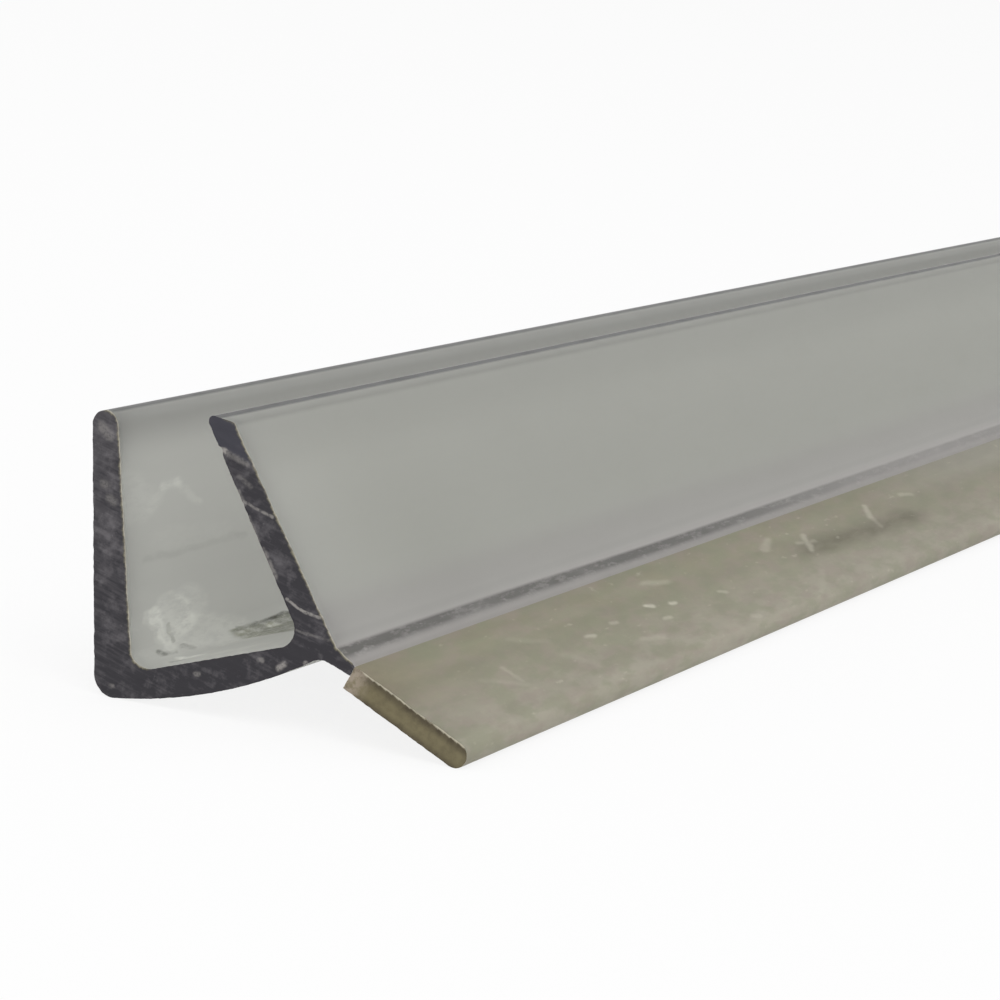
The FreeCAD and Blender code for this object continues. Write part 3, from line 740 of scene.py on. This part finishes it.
def finFaceFinish():
    f = finFinish
    material, wire = newFinish("oliveFin")
    place = sectionPlace(wire)
    x, y, z = place.axes()
    depth = strip["length"] / 2 - z     # from the photographed cut
    root = neckPoints()[1]
    across = fromLine(x, y, root, -finSizes["slope"])
    onTop = fromLine(x, y, root, 90 - finSizes["slope"]).ramp(-0.4, -0.1)

    # tone: patches, drag marks, grain and die lines; paler by the tip, darker far off and by the cut
    patch = noise(place, 0.5, 3.0, 0.6, stretch=(1, 1, 0.35))
    drag = noise(place, 2.4, 3.0, 0.65, 0.4, stretch=(0.35, 0.35, 1.0), offset=(3, 1, 0))
    grain = noise(place, 5.5, 2.0, 0.6)
    dieLines = noise(place, 2.0, 2.0, stretch=(1, 1, 0.01))
    blots = noise(place, 1.3, 4.0, 0.65, stretch=drawnOut, offset=(2, 5, 9)).ramp(0.34, 0.66)
    tone = f["tone"] + patch * f["patchGain"] + drag * f["dragGain"] + grain * f["grainGain"] \
        + dieLines * f["dieLineGain"] + blots * f["blotGain"]
    tone = tone + band(across, 1.3, 0.15, 0.4) * 0.07 - band(across, 2.4, 0.2, 0.7) * 0.04 \
        + across.ramp(5.4, 6.5) * 0.09 - depth.ramp(45.0, 75.0) * 0.06
    nearCut = depth.ramp(6.0, 0.5) * across.ramp(4.2, 1.2)
    worn = noise(place, 2.2, 3.0, 0.65, stretch=(1, 1, 0.5)).ramp(0.35, 0.65)
    tone = tone - nearCut * (0.04 + worn * 0.10)

    colour = (across + patch * 1.6).ramp(1.5, 7.0).between(f["root"], f["tip"])
    pinkish = noise(place, 1.1, 3.0, 0.6, stretch=(1, 1, 0.35), offset=(0, 8, 5)).ramp(0.42, 0.62)
    greenish = noise(place, 1.0, 3.0, 0.6, stretch=(1, 1, 0.35), offset=(6, 2, 0)).ramp(0.42, 0.62)
    colour = colour.towards(f["pinkish"], pinkish * 0.6).towards(f["greenish"], greenish * 0.55)
    colour = colour.towards(f["brown"], nearCut * 0.6)
    colour = colour.towards(f["farRoot"], depth.ramp(66.0, 96.0) * across.ramp(3.2, 1.0) * 0.8)

    # one long smudge, then the flecks and scratches
    shaken = wobbled(place, 0.35, 1.2, 3.0)
    smudge = mark(shaken.vector("MULTIPLY", smudgeSquash), onFin(3.0, 57.5, smudgeSquash),
                  onFin(3.4, 71.5, smudgeSquash), 0.1, 1.1)
    smudge = smudge * noise(place, 1.2, 3.0, 0.6, stretch=(1, 1, 0.25)).ramp(0.3, 0.7, 0.5, 1.0)
    colour = colour.towards(f["smudge"], smudge)
    shaken = shaken.vector("MULTIPLY", fleckSquash)
    fleck = 0.0
    for start, end, halfWidth, soft, strength in f["flecks"]:
        drawn = mark(shaken, onFin(*start, fleckSquash), onFin(*end, fleckSquash), halfWidth, soft)
        fleck = (drawn * strength).maths("MAXIMUM", fleck)
    dust = noise(place, 2.8, 2.0, 0.5, stretch=(1, 1, 0.35), offset=(9, 4, 2)).ramp(0.64, 0.80) * 0.35
    fleck = fleck.maths("MAXIMUM", dust) * onTop
    colour = colour.towards(f["pale"], fleck)
    colour = colour.vector("SCALE", scale=tone)
    roughness = f["roughness"] + drag * 0.12 + fleck * 0.2
    finishWith(wire, colour, roughness, drag * 0.6 + grain * 0.5 + dieLines * 0.4, 0.02, f)
    return material


finCutFinish = {
    "olive": shade(112, 104, 78), "edge": shade(70, 62, 47), "pale": shade(184, 178, 158),
    "rosy": shade(158, 146, 132),
    "roughness": 0.55, "ior": 1.48, "specular": 0.3, "bumpStrength": 0.5, "glow": 0.0,
}


def finSawnFinish():
    f = finCutFinish
    material, wire = newFinish("sawnOlive")
    place = sectionPlace(wire)
    flat = place.vector("MULTIPLY", (1, 1, 0.02))
    x, y, _ = place.axes()
    root = neckPoints()[1]
    across = fromLine(x, y, root, -finSizes["slope"])
    under = fromLine(x, y, root, -90 - finSizes["slope"])      # from the upper face into the fin
    mottle = noise(flat, 2.0, 4.0, 0.6)
    crumbs = noise(flat, 8.0, 2.0, 0.6)
    middle = band(under, finSizes["thickness"] * 0.55, 0.12, 0.45)
    shadeMask = (1.0 - middle) * 0.75 + mottle.ramp(0.4, 0.7) * 0.3 - across.ramp(1.2, 0.2) * 0.25
    colour = shadeMask.clamped().between(f["olive"], f["edge"])
    atRoot = across.ramp(1.3, 0.2) * noise(flat, 3.0, 3.0, 0.6, offset=(3, 3, 0)).ramp(0.35, 0.6, 0.2, 0.8)
    colour = colour.towards(f["rosy"], atRoot)
    torn = burrMask(wire).ramp(0.3, 0.9) * noise(flat, 1.6, 2.0).ramp(0.3, 0.6, 0.35, 1.0)
    colour = colour.towards(f["pale"], torn)
    finishWith(wire, colour, f["roughness"] + mottle * 0.15, mottle * 0.4 + crumbs * 0.5, 0.03, f)
    return material


# The two pieces.
def buildStrip(name, outline, spacing, options, faceFinish, cutFinish):
    section = bpy.data.objects.new(name + "Section", sectionMesh(name + "Section", outline, spacing))
    bpy.context.collection.objects.link(section)
    modifier = section.modifiers.new("sawnExtrusion", "NODES")
    modifier.node_group = extrusionTree
    sockets = {item.name: item.identifier for item in extrusionTree.interface.items_tree
               if item.in_out == "INPUT"}
    options = dict(options, **{"Face Finish": faceFinish, "Cut Finish": cutFinish})
    for label, value in options.items():
        modifier[sockets[label]] = value
    evaluated = section.evaluated_get(bpy.context.evaluated_depsgraph_get())
    mesh = bpy.data.meshes.new_from_object(evaluated)
    mesh.name = name
    mesh.transform(restMatrix)
    piece = bpy.data.objects.new(name, mesh)
    bpy.context.collection.objects.link(piece)
    bpy.data.objects.remove(section)
    print(name, "built with", len(mesh.polygons), "faces")
    return piece


extrusionTree = sawnExtrusionTree()
sawCut = {
    "Length": strip["length"] * mm, "Rings": 80, "Crowding": 2.2,
    "Saw Angle": math.radians(strip["sawDirection"]), "Saw Pitch": 0.3 * mm, "Saw Depth": 0.03 * mm,
    "Burr Reach": 0.12 * mm,
}
channelCut = dict(sawCut, **{
    "Burr Height": 0.07 * mm, "Edge Chips": 0.04 * mm, "Seed": 3.0,
    "Nick Place": (2.42 * mm, 9.3 * mm, strip["length"] / 2 * mm),      # by the front leg's tip
    "Nick Size": 0.24 * mm, "Nick Depth": 0.12 * mm,
})
finCut = dict(sawCut, **{"Burr Height": 0.05 * mm, "Edge Chips": 0.03 * mm, "Seed": 11.0})
channel = buildStrip("channel", channelOutline(), channelSizes["spacing"], channelCut,
                     channelFaceFinish(), channelSawnFinish())
fin = buildStrip("fin", finOutline(), finSizes["spacing"], finCut, finFaceFinish(), finSawnFinish())

for piece, node, slot in ((channel, "clear_channel", "clear_channel"), (fin, "drip_fin", "drip_fin")):
    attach(piece, "root")
    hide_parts(node)
print("pieces ride on root")


# Floor, light and camera.
studio = {
    "floorReach": 3.0,          # metres each way
    "floorColour": (0.86, 0.86, 0.86, 1.0), "floorWhite": 0.85,     # share of plain white that is seen
    "skyStrength": 0.78,
    "lamps": (      # name, place, aimed at, size, watts
        ("softAbove", (0.35, -0.75, 0.9), (0, -0.25, 0), 0.7, 3.4),
        ("softFront", (-0.5, -1.1, 0.45), (0, -0.28, 0), 0.6, 1.6),
    ),
}


def seenPlainly(wire):      # by the camera, in a reflection, or through something clear
    ray = wire.add("ShaderNodeLightPath", output="Is Camera Ray")
    return ray.maths("MAXIMUM", ray.other("Is Glossy Ray")).maths("MAXIMUM", ray.other("Is Transmission Ray"))


def buildFloor():
    reach = studio["floorReach"]
    mesh = bpy.data.meshes.new("floor")
    corners = [(-reach, -reach, 0), (reach, -reach, 0), (reach, reach, 0), (-reach, reach, 0)]
    mesh.from_pydata(corners, [], [(0, 1, 2, 3)])
    floor = bpy.data.objects.new("floor", mesh)
    bpy.context.collection.objects.link(floor)
    material, wire = newFinish("paleFloor")
    matt = wire.add("ShaderNodeBsdfDiffuse", {}, {"Color": studio["floorColour"]})
    white = wire.add("ShaderNodeEmission", {}, {"Color": (1, 1, 1, 1), "Strength": 1.0})
    mixed = wire.add("ShaderNodeMixShader", {}, {
        0: seenPlainly(wire) * studio["floorWhite"], 1: matt, 2: white})
    output = wire.tree.nodes.new("ShaderNodeOutputMaterial")
    wire.tree.links.new(mixed.socket, output.inputs["Surface"])
    mesh.materials.append(material)
    return floor


def buildSky():
    world = bpy.data.worlds.new("softStudio")
    world.use_nodes = True
    world.node_tree.nodes.clear()
    wire = Wire(world.node_tree)
    light = wire.add("ShaderNodeBackground", {}, {
        "Color": (1, 1, 1, 1), "Strength": studio["skyStrength"]})
    white = wire.add("ShaderNodeBackground", {}, {"Color": (1, 1, 1, 1), "Strength": 1.0})
    mixed = wire.add("ShaderNodeMixShader", {}, {0: seenPlainly(wire), 1: light, 2: white})
    output = wire.tree.nodes.new("ShaderNodeOutputWorld")
    wire.tree.links.new(mixed.socket, output.inputs["Surface"])
    bpy.context.scene.world = world


def buildLamps():
    for name, place, target, size, watts in studio["lamps"]:
        lamp = bpy.data.lights.new(name, "AREA")
        lamp.shape = "DISK"
        lamp.size, lamp.energy = size, watts
        holder = bpy.data.objects.new(name, lamp)
        holder.location = place
        holder.rotation_euler = (Vector(target) - Vector(place)).to_track_quat("-Z", "Y").to_euler()
        bpy.context.collection.objects.link(holder)


camera = {
    "lens": 144.0, "sensor": 36.0,
    "place": (76.854, -460.460, 42.107),        # millimetres
    "right": (0.911936, 0.396833, 0.104384), "down": (0.162035, -0.114550, -0.980114),
    "ahead": (-0.376984, 0.910715, -0.168763),
}


def buildCamera():
    lens = bpy.data.cameras.new("camera")
    lens.sensor_width, lens.lens = camera["sensor"], camera["lens"]
    lens.clip_start, lens.clip_end = 0.01, 20.0
    holder = bpy.data.objects.new("camera", lens)
    columns = (Vector(camera["right"]), -Vector(camera["down"]), -Vector(camera["ahead"]))
    turn = Matrix(columns).transposed().to_4x4()
    holder.matrix_world = Matrix.Translation(Vector(camera["place"]) * mm) @ turn
    bpy.context.collection.objects.link(holder)
    bpy.context.scene.camera = holder


buildFloor()
buildSky()
buildLamps()
buildCamera()
bpy.context.scene.view_settings.view_transform = "Standard"
print("floor, light and camera placed")
